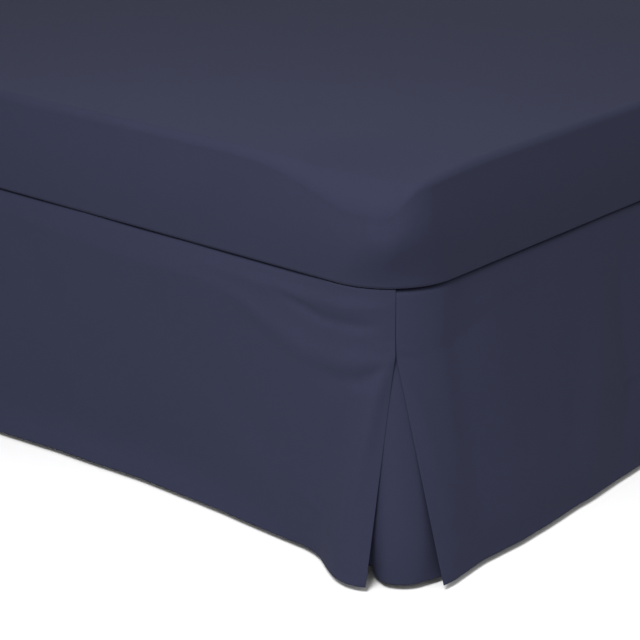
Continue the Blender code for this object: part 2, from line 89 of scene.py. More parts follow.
# The mattress cover's shape: its lip under the mattress, its bulging wall and its crown.
LIP_RADIUS = 0.007
LIP_CENTRE_OUT = -0.003
LIP_BOTTOM = 0.0014
WALL_BULGE_OUT = 0.010
LIP_REACH = 0.012
WALL_TOP_OUT = 0.006
MATTRESS_RISE = 0.160
MATTRESS_CROWN = 0.015
CROWN_POWER = 2.5
CROWN_BLEND = 0.05
CROWN_STARTS = 0.06
TOP_CORNER_RADIUS = 0.060
TOP_CORNER_HEIGHT = 0.10
EDGE_RADIUS_END = 0.011
EDGE_RADIUS_SIDE = 0.015
EDGE_RADIUS_CORNER = 0.050
SOFT_CORNER_REACH = 0.10
SOFT_CORNER_ENDS = (0.55, 0.97)
CORNER_SINKS = 0.018
PLAIN_CORNER_SINKS = 0.004
SINK_REACH = (0.10, 0.10)
SINK_PLACE = 0.08
SINK_STARTS = 0.04

HangRow = namedtuple("HangRow", "along shoulder_out shoulder_drop hem_out")
TuckRow = namedtuple("TuckRow", "along share")
FoldPoint = namedtuple("FoldPoint", "along drop width height")
Side = namedtuple(
    "Side", "name corner along_axis out_axis length fine_pitch coarse_pitch hang tuck folds seed"
)
OutRow = namedtuple("OutRow", "out_of_side out_of_end")
Corner = namedtuple("Corner", "name side_sign end_sign hem line")

SIDE_LEFT_HANG = (
    HangRow(0.022, 0.000, 0.090, 0.038),
    HangRow(0.034, 0.001, 0.092, 0.044),
    HangRow(0.054, 0.003, 0.098, 0.047),
    HangRow(0.072, 0.005, 0.106, 0.043),
    HangRow(0.097, 0.007, 0.114, 0.030),
    HangRow(0.130, 0.009, 0.118, 0.010),
    HangRow(0.165, 0.011, 0.112, 0.000),
    HangRow(0.210, 0.012, 0.090, -0.003),
    HangRow(0.256, 0.012, 0.064, -0.007),
    HangRow(0.340, 0.012, 0.048, -0.016),
    HangRow(0.520, 0.010, 0.048, -0.020),
    HangRow(0.690, 0.008, 0.038, -0.008),
    HangRow(0.820, 0.006, 0.034, 0.005),
    HangRow(1.000, 0.006, 0.040, 0.009),
    HangRow(1.250, 0.008, 0.050, 0.001),
    HangRow(1.500, 0.006, 0.050, 0.009),
    HangRow(1.700, 0.008, 0.070, 0.012),
    HangRow(1.800, 0.006, 0.085, 0.034),
    HangRow(1.845, 0.003, 0.090, 0.047),
    HangRow(1.878, 0.000, 0.090, 0.044),
)
FOOT_HANG = (
    HangRow(0.036, 0.000, 0.090, 0.056),
    HangRow(0.055, 0.001, 0.090, 0.058),
    HangRow(0.075, 0.003, 0.090, 0.058),
    HangRow(0.106, 0.005, 0.086, 0.057),
    HangRow(0.135, 0.007, 0.076, 0.057),
    HangRow(0.168, 0.009, 0.064, 0.061),
    HangRow(0.200, 0.010, 0.055, 0.065),
    HangRow(0.260, 0.010, 0.050, 0.066),
    HangRow(0.370, 0.010, 0.050, 0.064),
    HangRow(0.540, 0.008, 0.050, 0.063),
    HangRow(0.750, 0.008, 0.055, 0.050),
    HangRow(0.950, 0.008, 0.060, 0.056),
    HangRow(1.120, 0.007, 0.075, 0.044),
    HangRow(1.240, 0.005, 0.090, 0.040),
    HangRow(1.290, 0.003, 0.090, 0.048),
    HangRow(1.325, 0.000, 0.090, 0.045),
)
SIDE_RIGHT_HANG = (
    HangRow(0.025, 0.000, 0.090, 0.045),
    HangRow(0.060, 0.003, 0.090, 0.047),
    HangRow(0.100, 0.006, 0.080, 0.036),
    HangRow(0.160, 0.008, 0.065, 0.020),
    HangRow(0.350, 0.008, 0.050, 0.012),
    HangRow(0.600, 0.006, 0.045, 0.020),
    HangRow(0.850, 0.008, 0.050, 0.010),
    HangRow(1.100, 0.006, 0.045, 0.018),
    HangRow(1.350, 0.008, 0.050, 0.010),
    HangRow(1.600, 0.006, 0.050, 0.014),
    HangRow(1.740, 0.008, 0.065, 0.020),
    HangRow(1.800, 0.006, 0.080, 0.036),
    HangRow(1.840, 0.003, 0.090, 0.047),
    HangRow(1.875, 0.000, 0.090, 0.045),
)
HEAD_HANG = (
    HangRow(0.025, 0.000, 0.090, 0.050),
    HangRow(0.060, 0.003, 0.090, 0.062),
    HangRow(0.100, 0.006, 0.085, 0.052),
    HangRow(0.160, 0.008, 0.075, 0.032),
    HangRow(0.400, 0.008, 0.060, 0.022),
    HangRow(0.700, 0.006, 0.055, 0.030),
    HangRow(0.950, 0.008, 0.060, 0.020),
    HangRow(1.190, 0.008, 0.075, 0.032),
    HangRow(1.250, 0.006, 0.085, 0.052),
    HangRow(1.290, 0.003, 0.090, 0.062),
    HangRow(1.325, 0.000, 0.090, 0.050),
)

# How much of the full tuck the skirt's upper edge takes. Where it takes little the crease all but closes, and
# below 0 the edge stands out a little past it.
SIDE_LEFT_TUCK = (
    TuckRow(0.000, 0.55),
    TuckRow(0.035, 0.00),
    TuckRow(0.110, -0.10),
    TuckRow(0.180, 0.40),
    TuckRow(0.300, 0.45),
    TuckRow(0.390, 0.20),
    TuckRow(0.490, 0.55),
    TuckRow(0.600, 0.05),
    TuckRow(0.700, 0.45),
    TuckRow(0.850, 0.60),
)
FOOT_TUCK = (
    TuckRow(0.000, 1.20),
    TuckRow(0.075, 1.10),
    TuckRow(0.110, 0.45),
    TuckRow(0.280, 0.25),
    TuckRow(0.370, 0.40),
    TuckRow(0.500, 0.10),
    TuckRow(0.700, 0.60),
)
PLAIN_TUCK = (
    TuckRow(0.000, 0.60),
    TuckRow(0.150, 1.00),
)

# Folds, each along a line of points: a soft ridge, or a trough where its height is negative.
SIDE_LEFT_FOLDS = (
    (
        FoldPoint(0.400, 0.020, 0.008, 0.000),
        FoldPoint(0.282, 0.024, 0.009, 0.002),
        FoldPoint(0.188, 0.029, 0.011, 0.003),
        FoldPoint(0.099, 0.029, 0.011, 0.003),
        FoldPoint(0.040, 0.024, 0.008, 0.001),
    ),
    (
        FoldPoint(0.250, 0.022, 0.006, 0.000),
        FoldPoint(0.169, 0.042, 0.008, -0.0025),
        FoldPoint(0.132, 0.053, 0.008, -0.0030),
        FoldPoint(0.069, 0.052, 0.008, -0.0030),
        FoldPoint(0.040, 0.049, 0.006, 0.0000),
    ),
    (
        FoldPoint(0.300, 0.052, 0.012, 0.0010),
        FoldPoint(0.235, 0.074, 0.014, 0.0020),
        FoldPoint(0.150, 0.104, 0.018, 0.0030),
        FoldPoint(0.095, 0.108, 0.018, 0.0045),
        FoldPoint(0.050, 0.100, 0.012, 0.0035),
        FoldPoint(0.020, 0.084, 0.008, 0.0020),
    ),
    (
        FoldPoint(0.046, 0.080, 0.004, 0.0012),
        FoldPoint(0.022, 0.075, 0.004, 0.0016),
    ),
    (
        FoldPoint(0.110, 0.134, 0.014, -0.0020),
        FoldPoint(0.066, 0.128, 0.011, -0.0030),
        FoldPoint(0.042, 0.110, 0.006, -0.0015),
    ),
    (
        FoldPoint(0.026, 0.084, 0.006, 0.0010),
        FoldPoint(0.035, 0.110, 0.008, 0.0035),
        FoldPoint(0.043, 0.150, 0.010, 0.0060),
        FoldPoint(0.048, 0.210, 0.011, 0.0060),
        FoldPoint(0.052, 0.260, 0.012, 0.0040),
        FoldPoint(0.057, 0.330, 0.014, 0.0005),
    ),
    (
        FoldPoint(0.082, 0.165, 0.018, -0.0030),
        FoldPoint(0.096, 0.240, 0.026, -0.0070),
        FoldPoint(0.110, 0.330, 0.028, -0.0040),
    ),
    (
        FoldPoint(0.170, 0.326, 0.010, 0.0010),
        FoldPoint(0.131, 0.338, 0.008, 0.0020),
        FoldPoint(0.078, 0.352, 0.008, 0.0020),
    ),
    (
        FoldPoint(0.760, 0.050, 0.024, -0.0010),
        FoldPoint(0.690, 0.140, 0.030, -0.0022),
        FoldPoint(0.656, 0.230, 0.030, -0.0014),
    ),
    (
        FoldPoint(0.330, 0.200, 0.022, -0.0012),
        FoldPoint(0.230, 0.270, 0.026, -0.0018),
    ),
    (
        FoldPoint(0.200, 0.430, 0.030, 0.0030),
        FoldPoint(0.300, 0.430, 0.040, 0.0140),
        FoldPoint(0.420, 0.430, 0.045, 0.0220),
        FoldPoint(0.900, 0.430, 0.048, 0.0230),
        FoldPoint(1.720, 0.430, 0.040, 0.0120),
    ),
    (
        FoldPoint(1.200, 0.060, 0.060, 0.0040),
        FoldPoint(1.230, 0.330, 0.060, 0.0050),
    ),
    (
        FoldPoint(1.550, 0.080, 0.050, -0.0040),
        FoldPoint(1.500, 0.300, 0.050, -0.0040),
    ),
)
FOOT_FOLDS = (
    (
        FoldPoint(0.455, 0.080, 0.040, 0.0015),
        FoldPoint(0.440, 0.230, 0.040, 0.0065),
        FoldPoint(0.400, 0.360, 0.042, 0.0050),
    ),
    (
        FoldPoint(0.520, 0.110, 0.018, -0.0025),
        FoldPoint(0.530, 0.280, 0.022, -0.0050),
        FoldPoint(0.500, 0.370, 0.024, -0.0030),
    ),
    (
        FoldPoint(0.500, 0.272, 0.005, 0.0010),
        FoldPoint(0.530, 0.262, 0.006, 0.0020),
        FoldPoint(0.575, 0.264, 0.005, 0.0010),
    ),
    (
        FoldPoint(0.028, 0.092, 0.006, 0.0005),
        FoldPoint(0.045, 0.170, 0.012, 0.0030),
        FoldPoint(0.070, 0.320, 0.018, 0.0020),
    ),
    (
        FoldPoint(0.034, 0.083, 0.005, 0.0014),
        FoldPoint(0.052, 0.089, 0.005, 0.0010),
    ),
    (
        FoldPoint(0.090, 0.408, 0.024, -0.0020),
        FoldPoint(0.200, 0.408, 0.030, -0.0045),
        FoldPoint(0.620, 0.408, 0.030, -0.0040),
    ),
    (
        FoldPoint(0.960, 0.080, 0.060, 0.0060),
        FoldPoint(0.940, 0.380, 0.060, 0.0060),
    ),
    (
        FoldPoint(1.160, 0.120, 0.050, -0.0040),
        FoldPoint(1.130, 0.360, 0.050, -0.0040),
    ),
)
SIDE_RIGHT_FOLDS = (
    (
        FoldPoint(0.450, 0.070, 0.060, 0.0050),
        FoldPoint(0.400, 0.320, 0.060, 0.0050),
    ),
    (
        FoldPoint(0.760, 0.060, 0.050, -0.0040),
        FoldPoint(0.800, 0.300, 0.050, -0.0040),
    ),
    (
        FoldPoint(1.180, 0.080, 0.060, 0.0050),
        FoldPoint(1.140, 0.350, 0.060, 0.0050),
    ),
    (
        FoldPoint(0.300, 0.450, 0.046, 0.0100),
        FoldPoint(1.650, 0.450, 0.046, 0.0100),
    ),
)
HEAD_FOLDS = (
    (
        FoldPoint(0.420, 0.080, 0.060, 0.0040),
        FoldPoint(0.440, 0.340, 0.060, 0.0040),
    ),
    (
        FoldPoint(0.900, 0.080, 0.060, -0.0040),
        FoldPoint(0.870, 0.320, 0.060, -0.0040),
    ),
)

ALONG_X, ALONG_Y = np.array((1.0, 0.0)), np.array((0.0, 1.0))
FOOT_LEFT = np.array((-HALF_WIDTH, -HALF_LENGTH))
FOOT_RIGHT = np.array((HALF_WIDTH, -HALF_LENGTH))
HEAD_LEFT = np.array((-HALF_WIDTH, HALF_LENGTH))
BED_WIDTH, BED_LENGTH = 2 * HALF_WIDTH, 2 * HALF_LENGTH
SIDES = (
    Side(
        "side_left", FOOT_LEFT, ALONG_Y, -ALONG_X, BED_LENGTH, 0.003, 0.008,
        SIDE_LEFT_HANG, SIDE_LEFT_TUCK, SIDE_LEFT_FOLDS, 3,
    ),
    Side("foot", FOOT_LEFT, ALONG_X, -ALONG_Y, BED_WIDTH, 0.003, 0.007, FOOT_HANG, FOOT_TUCK, FOOT_FOLDS, 5),
    Side(
        "side_right", FOOT_RIGHT, ALONG_Y, ALONG_X, BED_LENGTH, 0.004, 0.014,
        SIDE_RIGHT_HANG, PLAIN_TUCK, SIDE_RIGHT_FOLDS, 7,
    ),
    Side("head", HEAD_LEFT, ALONG_X, ALONG_Y, BED_WIDTH, 0.004, 0.014, HEAD_HANG, PLAIN_TUCK, HEAD_FOLDS, 11),
)

# A pleat insert's hem, and the line that it would keep to if it hung as the folds in front of it do.
INSERT_HEM_LIVELY = (
    OutRow(0.008, -0.105),
    OutRow(-0.004, -0.075),
    OutRow(-0.014, -0.053),
    OutRow(-0.004, -0.042),
    OutRow(0.005, -0.030),
    OutRow(0.011, -0.011),
    OutRow(0.002, 0.010),
    OutRow(-0.009, 0.021),
    OutRow(-0.033, 0.031),
    OutRow(-0.048, 0.036),
    OutRow(-0.105, 0.042),
)
INSERT_LINE_LIVELY = (
    OutRow(0.012, -0.105),
    OutRow(0.023, -0.078),
    OutRow(0.027, -0.055),
    OutRow(0.025, -0.036),
    OutRow(0.0235, -0.018),
    OutRow(0.022, 0.004),
    OutRow(0.010, 0.022),
    OutRow(-0.011, 0.036),
    OutRow(-0.036, 0.042),
    OutRow(-0.065, 0.045),
    OutRow(-0.105, 0.045),
)
INSERT_HEM_PLAIN = (
    OutRow(0.020, -0.105),
    OutRow(0.006, -0.075),
    OutRow(-0.002, -0.048),
    OutRow(0.008, -0.020),
    OutRow(0.006, 0.006),
    OutRow(-0.020, 0.008),
    OutRow(-0.048, -0.002),
    OutRow(-0.075, 0.006),
    OutRow(-0.105, 0.020),
)
INSERT_LINE_PLAIN = (
    OutRow(0.024, -0.105),
    OutRow(0.032, -0.070),
    OutRow(0.032, -0.040),
    OutRow(0.028, -0.018),
    OutRow(0.012, 0.012),
    OutRow(-0.018, 0.028),
    OutRow(-0.040, 0.032),
    OutRow(-0.070, 0.032),
    OutRow(-0.105, 0.024),
)
CORNERS = (
    Corner("foot_left", -1, -1, INSERT_HEM_LIVELY, INSERT_LINE_LIVELY),
    Corner("foot_right", 1, -1, INSERT_HEM_PLAIN, INSERT_LINE_PLAIN),
    Corner("head_left", -1, 1, INSERT_HEM_PLAIN, INSERT_LINE_PLAIN),
    Corner("head_right", 1, 1, INSERT_HEM_PLAIN, INSERT_LINE_PLAIN),
)

# The slight waves of hanging cloth, which fade out towards the crease and the folds.
WAVE_LENGTHS = (0.55, 0.38, 0.27, 0.19, 0.13, 0.09, 0.06)
WAVE_HEIGHT_POWER = 0.8
WAVE_LEAN = 0.35
WAVES_BELOW_CREASE = 0.15
WAVES_PAST_FOLD = 0.08

# The height over which the hem's own thickness comes in.
HEM_STEP = 0.002

# Mesh spacing.
SPACING_SAMPLES = 2000
END_REACH = 0.30
ROW_PITCH_FINE = 0.0025
ROW_PITCH = 0.005
ROW_REACH = 0.05
TURN_STEPS = 8
RETURN_STEPS = 16
INSERT_COLUMNS = 70
GUIDE_STEPS = 24
GUIDE_PITCH = 0.01
CORNER_STEPS = 37
OUTLINE_PITCH_FINE = 0.0065
OUTLINE_PITCH = 0.024
OUTLINE_REACH = 0.2
LIP_STEPS = 8
WALL_STEPS = 23
EDGE_STEPS = 16
TOP_STEPS = 40
TOP_STEP_POWER = 1.3

# The cloth's patterns for each metre of weave, and how much they change its colour and its relief.
YARN_ALONG = 45.0
YARN_ACROSS = 700.0
YARN_TINT = 0.10
MOTTLE_SCALE = 9.0
MOTTLE_TINT = 0.07
WRINKLE_SCALE = 38.0
WRINKLE_HEIGHT = 0.0003
THREAD_HEIGHT_SHARE = 0.08
YARN_HEIGHT_SHARE = 0.16

# The camera, from the crease's corner at the foot's left, and its lens for a sensor 36 mm wide.
CAMERA_FROM_CORNER = (-1.725, -1.341, 0.790)
CAMERA_AZIMUTH = math.radians(-49.41)
CAMERA_PITCH = math.radians(20.48)
CAMERA_LENS = 100.6
SENSOR_WIDTH = 36.0

# The studio's floor and surround, and its one soft light high outside the foot's left corner.
FLOOR_REACH = 30.0
WORLD_STRENGTH = 0.72
KEY_PLACE = (-2.44, -1.43, 2.82)
KEY_AIM = (-0.72, -0.80, 0.45)
KEY_SIZE = 1.2
KEY_SPREAD = math.radians(90)
KEY_POWER = 28.5


class BedSkirtSizes(bpy.types.PropertyGroup):
    """Sizes of the cloth that a user may change."""

    cloth_thickness: bpy.props.FloatProperty(
        name="Cloth thickness", description="Thickness of the skirt's cloth", default=0.0005,
        min=0.0004, max=0.0006, precision=4, unit="LENGTH",
    )
    weave_pitch: bpy.props.FloatProperty(
        name="Weave pitch", description="Distance from one thread of the weave to the next", default=0.0006,
        min=0.0003, max=0.003, precision=5, unit="LENGTH",
    )
    hem_depth: bpy.props.FloatProperty(
        name="Hem depth", description="Height of the turned-up hem", default=0.022, min=0.01, max=0.05,
        precision=3, unit="LENGTH",
    )
    hang_unevenness: bpy.props.FloatProperty(
        name="Unevenness", description="How far the cloth wanders in and out as it hangs", default=0.0012,
        min=0.0, max=0.003, precision=4, unit="LENGTH",
    )


class BedSkirtColours(bpy.types.PropertyGroup):
    """Colours that a user may change."""

    cloth: bpy.props.FloatVectorProperty(
        name="Cloth", description="Dye of the skirt and the mattress cover", default=(0.0234, 0.0258, 0.0489),
        subtype="COLOR", min=0.0, max=1.0,
    )
    ticking: bpy.props.FloatVectorProperty(
        name="Ticking", description="Cloth of the mattress", default=(0.72, 0.71, 0.68),
        subtype="COLOR", min=0.0, max=1.0,
    )
    base: bpy.props.FloatVectorProperty(
        name="Base cloth", description="Upholstery of the bed base", default=(0.42, 0.41, 0.40),
        subtype="COLOR", min=0.0, max=1.0,
    )
    glides: bpy.props.FloatVectorProperty(
        name="Glides", description="Plastic of the glides", default=(0.03, 0.03, 0.03),
        subtype="COLOR", min=0.0, max=1.0,
    )
    floor: bpy.props.FloatVectorProperty(
        name="Floor", description="The studio's pale floor", default=(0.90, 0.90, 0.90),
        subtype="COLOR", min=0.0, max=1.0,
    )


def smooth_path(points, step=0.002):
    """A curve through the points as a dense polyline: a cubic on each span, sloped along the chord."""
    points = np.asarray(points, float)
    chord = np.concatenate([[0.0], np.cumsum(np.linalg.norm(np.diff(points, axis=0), axis=1))])
    slopes = np.gradient(points, chord, axis=0)
    at = np.linspace(0.0, chord[-1], int(chord[-1] / step) + 2)
    span = np.clip(np.searchsorted(chord, at, side="right") - 1, 0, len(chord) - 2)
    size = (chord[span + 1] - chord[span])[:, None]
    u = (at - chord[span])[:, None] / size
    start = (2 * u**3 - 3 * u**2 + 1) * points[span] + (u**3 - 2 * u**2 + u) * size * slopes[span]
    end = (3 * u**2 - 2 * u**3) * points[span + 1] + (u**3 - u**2) * size * slopes[span + 1]
    return start + end


def running_length(path):
    """Distance of each point of a polyline from its start."""
    return np.concatenate([[0.0], np.cumsum(np.linalg.norm(np.diff(path, axis=0), axis=1))])


def along_path(path, distances):
    """Points of a polyline at the given distances from its start."""
    run = running_length(path)
    return np.stack([np.interp(distances, run, path[:, axis]) for axis in range(2)], axis=1)


def spaced(length, fine, coarse, reach):
    """Distances from 0 to a length whose pitch grows from fine at both ends to coarse past a reach."""
    at = np.linspace(0.0, length, SPACING_SAMPLES)
    from_end = np.minimum(at, length - at)
    pitch = fine + (coarse - fine) * np.clip(from_end / reach - 0.5, 0.0, 1.0)
    count = np.concatenate([[0.0], np.cumsum(np.diff(at) / pitch[1:])])
    return np.interp(np.linspace(0.0, count[-1], int(count[-1]) + 1), count, at)


def smooth_step(value, low, high):
    """0 below low, 1 above high, and an even S curve between."""
    share = np.clip((value - low) / (high - low), 0.0, 1.0)
    return share * share * (3.0 - 2.0 * share)


def outward_normals(plan):
    """Unit normals of plan polylines (rows of points) that run along +x with outside at +y."""
    tangent = np.gradient(plan, axis=-2)
    tangent /= np.linalg.norm(tangent, axis=-1, keepdims=True)
    return np.stack([-tangent[..., 1], tangent[..., 0]], axis=-1)


def rounded_side(length, radius):
    """One side of a rounded outline in plan: half a corner, a straight and half a corner."""
    angles = np.linspace(QUARTER_TURN / 2, 0.0, GUIDE_STEPS)
    turn = radius * np.stack([1 - np.sin(angles), np.cos(angles) - 1], axis=1)
    straight = np.linspace(radius, length - radius, int(length / GUIDE_PITCH))[1:-1]
    straight = np.stack([straight, np.zeros(len(straight))], axis=1)
    return np.concatenate([turn, straight, (turn * (-1, 1) + (length, 0))[::-1]])


def rounded_corner(radius, reach):
    """One whole corner just inside a rounded outline, falling further back on both sides of its middle."""
    angles = np.linspace(0.0, QUARTER_TURN, 2 * GUIDE_STEPS)[:, None]
    past_middle = np.abs(2 * angles / QUARTER_TURN - 1)
    inside = radius - INSERT_SETBACK - INSERT_FALLS_BACK * past_middle**FALL_POWER
    arc = inside * np.concatenate([np.cos(angles), np.sin(angles)], axis=1) - radius
    end = INSERT_SETBACK + INSERT_FALLS_BACK
    return np.concatenate([[(-end, -reach)], arc, [(-reach, -end)]])


def fold_relief(along, drop, folds):
    """Sum of the folds: a bell across each one's line, whose width and height run evenly between points."""
    relief = np.zeros(np.broadcast(along, drop).shape)
    for fold in folds:
        bell = np.zeros(relief.shape)
        nearest = np.full(relief.shape, np.inf)
        for start, end in zip(fold, fold[1:]):
            line = np.array([end.along - start.along, end.drop - start.drop])
            share = ((along - start.along) * line[0] + (drop - start.drop) * line[1]) / (line @ line)
            share = np.clip(share, 0.0, 1.0)
            off_along = along - start.along - share * line[0]
            off_down = drop - start.drop - share * line[1]
            off = off_along**2 + off_down**2
            width = start.width + (end.width - start.width) * share
            height = start.height + (end.height - start.height) * share
            bell = np.where(off < nearest, height * np.exp(-off / width**2), bell)
            nearest = np.minimum(nearest, off)
        relief += bell
    return relief


def hang_waves(along, drop, amount, seed):
    """Slight waves of hanging cloth: a sum of upright sine waves of seven lengths, each leaning a little."""
    draw = np.random.default_rng(seed)
    waves = np.zeros(np.broadcast(along, drop).shape)
    for length in WAVE_LENGTHS:
        lean = draw.uniform(-WAVE_LEAN, WAVE_LEAN)
        start = draw.uniform(0.0, 2 * math.pi)
        waves += length**WAVE_HEIGHT_POWER * np.sin(2 * math.pi * (along + lean * drop) / length + start)
    return amount * waves * smooth_step(drop, 0.0, WAVES_BELOW_CREASE)


def add_mesh_piece(name, points, weave, faces, finish, thickness=None):
    """A mesh object at the origin from points, each with its place in the flat weave, and faces."""
    mesh = bpy.data.meshes.new(name)
    mesh.from_pydata(points.reshape(-1, 3).tolist(), [], faces)
    corners = np.zeros(len(mesh.loops), np.int32)
    mesh.loops.foreach_get("vertex_index", corners)
    layer = mesh.uv_layers.new(name="weave")
    layer.data.foreach_set("uv", weave.reshape(-1, 2)[corners].astype(np.float32).ravel())
    mesh.materials.append(finish)
    mesh.shade_smooth()
    piece = bpy.data.objects.new(name, mesh)
    bpy.context.scene.collection.objects.link(piece)
    if thickness:
        shell = piece.modifiers.new("cloth", "SOLIDIFY")
        shell.thickness = thickness
        shell.offset = 0.0
        shell.use_even_offset = False
    return piece


def grid_faces(rows, columns, flip):
    """Quads over a grid of points, wound the other way when flipped."""
    grid = np.arange(rows * columns).reshape(rows, columns)
    quads = np.stack([grid[:-1, :-1], grid[1:, :-1], grid[1:, 1:], grid[:-1, 1:]], axis=-1)
    quads = quads.reshape(-1, 4)
    return (quads[:, ::-1] if flip else quads).tolist()


def below_shoulder(drop, shoulder_drop):
    """Share of the way from the shoulder to the hem: 0 at the shoulder and above, 1 at the hem."""
    return np.clip((drop - shoulder_drop) / (SKIRT_DROP - shoulder_drop), 0.0, 1.0)


def panel_surface(side, sizes):
    """A skirt panel as a function of the distance along it and the drop below the crease.

    Three guides lie over each other in plan: the crease, the shoulder, where the cloth has come out from
    under the crease, and the hem. From crease to shoulder the share is 1 less a power of what is left, and
    from shoulder to hem it runs evenly. The point is then moved along the plan's normal by the folds, the
    slight waves, the tuck under the mattress and the hem's own thickness. Past each fold the cloth turns back
    in a half circle and runs behind itself.
    """
    rows = np.array(side.hang)
    crease = rounded_side(side.length, CORNER_RADIUS)
    shoulder = rounded_side(side.length, SEAM_CORNER_RADIUS)
    shoulder[:, 1] += np.interp(shoulder[:, 0], rows[:, 0], rows[:, 1])
    hem = smooth_path(rows[:, (0, 3)])

    setback = FOLD_GAP / 2 + sizes.cloth_thickness / 2 + PIECE_GAP
    width = running_length(crease)[-1] - 2 * setback
    columns = spaced(width, side.fine_pitch, side.coarse_pitch, END_REACH)
    share = columns / columns[-1]
    crease, shoulder, hem = (
        along_path(path, setback + share * (running_length(path)[-1] - 2 * setback))
        for path in (crease, shoulder, hem)
    )
    drops = np.concatenate([[-SKIRT_TOP], spaced(SKIRT_DROP, ROW_PITCH_FINE, ROW_PITCH, ROW_REACH)[1:]])
    drop = drops[:, None]

    eased = smooth_path(rows[:, (0, 2)])
    shoulder_drop = np.interp(shoulder[:, 0], eased[:, 0], eased[:, 1])
    left = 1.0 - np.clip(drop / shoulder_drop, 0.0, 1.0)
    above = (1.0 - left**SHOULDER_POWER)[..., None]
    below = below_shoulder(drop, shoulder_drop)[..., None]
    plan = crease + (shoulder - crease) * above + (hem - shoulder) * below

    from_fold = np.minimum(columns, columns[-1] - columns)
    tucked = np.interp(crease[:, 0], *np.array(side.tuck).T)
    tuck = TUCK_DEPTH * tucked * np.maximum(0.0, 1.0 - (drop + SKIRT_TOP) / TUCK_HEIGHT) ** 2
    hem_top = SKIRT_DROP - sizes.hem_depth
    relief = fold_relief(plan[..., 0], drop, side.folds)
    waves = hang_waves(plan[..., 0], drop, sizes.hang_unevenness, side.seed)
    relief += waves * smooth_step(from_fold, 0.0, WAVES_PAST_FOLD)
    relief += sizes.cloth_thickness / 3 * smooth_step(drop, hem_top - HEM_STEP, hem_top)
    face = plan + outward_normals(plan) * (relief - tuck)[..., None]

    turned = np.array([
        np.concatenate([folded_end(row)[::-1], row, folded_end(row[::-1], flip=-1)]) for row in face
    ])
    end_run = np.concatenate([
        FOLD_GAP * math.pi / 2 * np.arange(1, TURN_STEPS + 1) / TURN_STEPS,
        FOLD_GAP * math.pi / 2 + RETURN_LENGTH * np.arange(1, RETURN_STEPS + 1) / RETURN_STEPS,
    ])
    run = np.concatenate([-end_run[::-1], columns, columns[-1] + end_run])
    place = side.corner + turned[..., :1] * side.along_axis + turned[..., 1:] * side.out_axis
    height = np.broadcast_to(CREASE_HEIGHT - drop[..., None], (*place.shape[:2], 1))
    weave = np.stack(np.broadcast_arrays(run[None, :], -drop), axis=-1)
    return np.concatenate([place, height], axis=2), weave


def folded_end(face, flip=1):
    """The half-turn round the fold at a row's first point, and the return behind the row."""
    normals = outward_normals(face) * flip
    tangent = (face[0] - face[1]) / np.linalg.norm(face[0] - face[1])
    centre = face[0] - normals[0] * FOLD_GAP / 2
    angles = np.linspace(0.0, math.pi, TURN_STEPS + 1)[1:, None]
    turn = centre + FOLD_GAP / 2 * (normals[0] * np.cos(angles) + tangent * np.sin(angles))
    behind = along_path(face - normals * FOLD_GAP, np.linspace(0.0, RETURN_LENGTH, RETURN_STEPS + 1)[1:])
    return np.concatenate([turn, behind])


def insert_surface(corner):
    """A pleat insert behind its two folds, as a function of the place across it and of the drop.

    Down to the pleat seam's foot it goes from the rounded crease to the rounded seam as a quarter sine. From
    there it runs evenly towards the line of the folds, and a high power of the same share bends it from that
    line to its own hem.
    """
    crease, seam = (
        rounded_corner(radius, INSERT_TOP_REACH) for radius in (CORNER_RADIUS, SEAM_CORNER_RADIUS)
    )
    share = np.linspace(0.0, 1.0, INSERT_COLUMNS)
    guides = (crease, seam, smooth_path(corner.line), smooth_path(corner.hem))
    width = running_length(guides[-1])[-1]
    crease, seam, line, hem = (along_path(path, share * running_length(path)[-1]) for path in guides)
    length = SKIRT_DROP - INSERT_TOP_DROP
    drops = INSERT_TOP_DROP + spaced(length, ROW_PITCH_FINE, ROW_PITCH, ROW_REACH)
    above = np.sin(QUARTER_TURN * np.clip(drops / SEAM_DEPTH, 0.0, 1.0))[:, None, None]
    below = below_shoulder(drops, SEAM_DEPTH)[:, None, None]
    plan = crease + (seam - crease) * above + (line - seam) * below
    plan += (hem - line) * below**VALLEY_POWER
    plan = (plan + (HALF_WIDTH, HALF_LENGTH)) * (corner.side_sign, corner.end_sign)
    height = np.broadcast_to(CREASE_HEIGHT - drops[:, None, None], (*plan.shape[:2], 1))
    weave = np.stack(np.broadcast_arrays(share[None, :] * width, -drops[:, None]), axis=-1)
    return np.concatenate([plan, height], axis=2), weave


def bed_outline():
    """Outward normals round the bed from +X, and each point's corner and share of the way to the next.

    A point of the outline with a corner radius r is the corner's centre, plus r times the normal, plus the
    share of the way to the next corner's centre.
    """
    normals, corners, shares = [], [], []
    for number in range(4):
        angles = (number + np.linspace(0.0, 1.0, CORNER_STEPS)) * QUARTER_TURN
        turn = np.stack([np.cos(angles), np.sin(angles)], axis=1)
        straight = (BED_LENGTH if number % 2 else BED_WIDTH) - 2 * CORNER_RADIUS
        steps = spaced(straight, OUTLINE_PITCH_FINE, OUTLINE_PITCH, OUTLINE_REACH)[1:-1] / straight
        normals += [turn, np.repeat(turn[-1:], len(steps), axis=0)]
        corners.append(np.full(len(turn) + len(steps), number))
        shares += [np.zeros(len(turn)), steps]
    return np.concatenate(normals), np.concatenate(corners), np.concatenate(shares)[:, None]


def outline_points(corner_radius, normals, corners, shares):
    """Plan points of the bed's outline for one corner radius."""
    x, y = HALF_WIDTH - corner_radius, HALF_LENGTH - corner_radius
    centres = np.array(((x, y), (-x, y), (-x, -y), (x, -y)))
    edge = centres[(corners + 1) % 4] - centres[corners]
    return centres[corners] + corner_radius * normals + edge * shares


